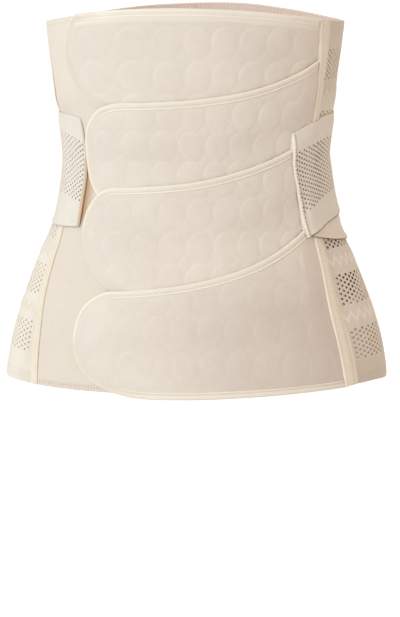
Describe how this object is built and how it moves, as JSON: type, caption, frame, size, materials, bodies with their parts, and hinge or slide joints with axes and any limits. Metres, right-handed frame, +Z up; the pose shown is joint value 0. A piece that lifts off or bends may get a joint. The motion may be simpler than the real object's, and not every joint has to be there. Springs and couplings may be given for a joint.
{
  "type": "postpartum belly band",
  "caption": "Hourglass postpartum belly wrap with shingled quilted closing belts, perforated elastic sides and perforated waist straps, shown as worn.",
  "frame": {"origin": "middle of the waist hollow, at the narrowest height", "axes": "+Z up along the torso, -Y out of the front with the belts, +X towards the side where the belts are sewn on"},
  "size_m": [0.3308, 0.2392, 0.3204],
  "materials": {
    "panel_cloth": "matte brushed knit",
    "elastic_mesh": "matte perforated elastic",
    "quilted_cloth": "matte brushed cloth, bonded quilting",
    "binding_cloth": "satin woven tape",
    "strap_mesh": "matte perforated elastic",
    "tape_cloth": "satin woven tape"
  },
  "bodies": {
    "root": {"left_front_panel": "panel_cloth", "right_elastic_panel": "elastic_mesh", "left_elastic_panel": "elastic_mesh", "back_centre_band": "tape_cloth", "right_seam_tape": "tape_cloth", "left_seam_tape": "tape_cloth", "right_strap": "strap_mesh", "left_strap": "strap_mesh", "right_strap_base": "panel_cloth", "right_strap_hem": "binding_cloth", "left_strap_hem": "binding_cloth", "belt_1": "quilted_cloth", "belt_1_binding": "binding_cloth", "belt_2": "quilted_cloth", "belt_2_binding": "binding_cloth", "belt_3": "quilted_cloth", "belt_3_binding": "binding_cloth", "belt_4": "quilted_cloth", "belt_4_binding": "binding_cloth"}
  },
  "joints": []
}
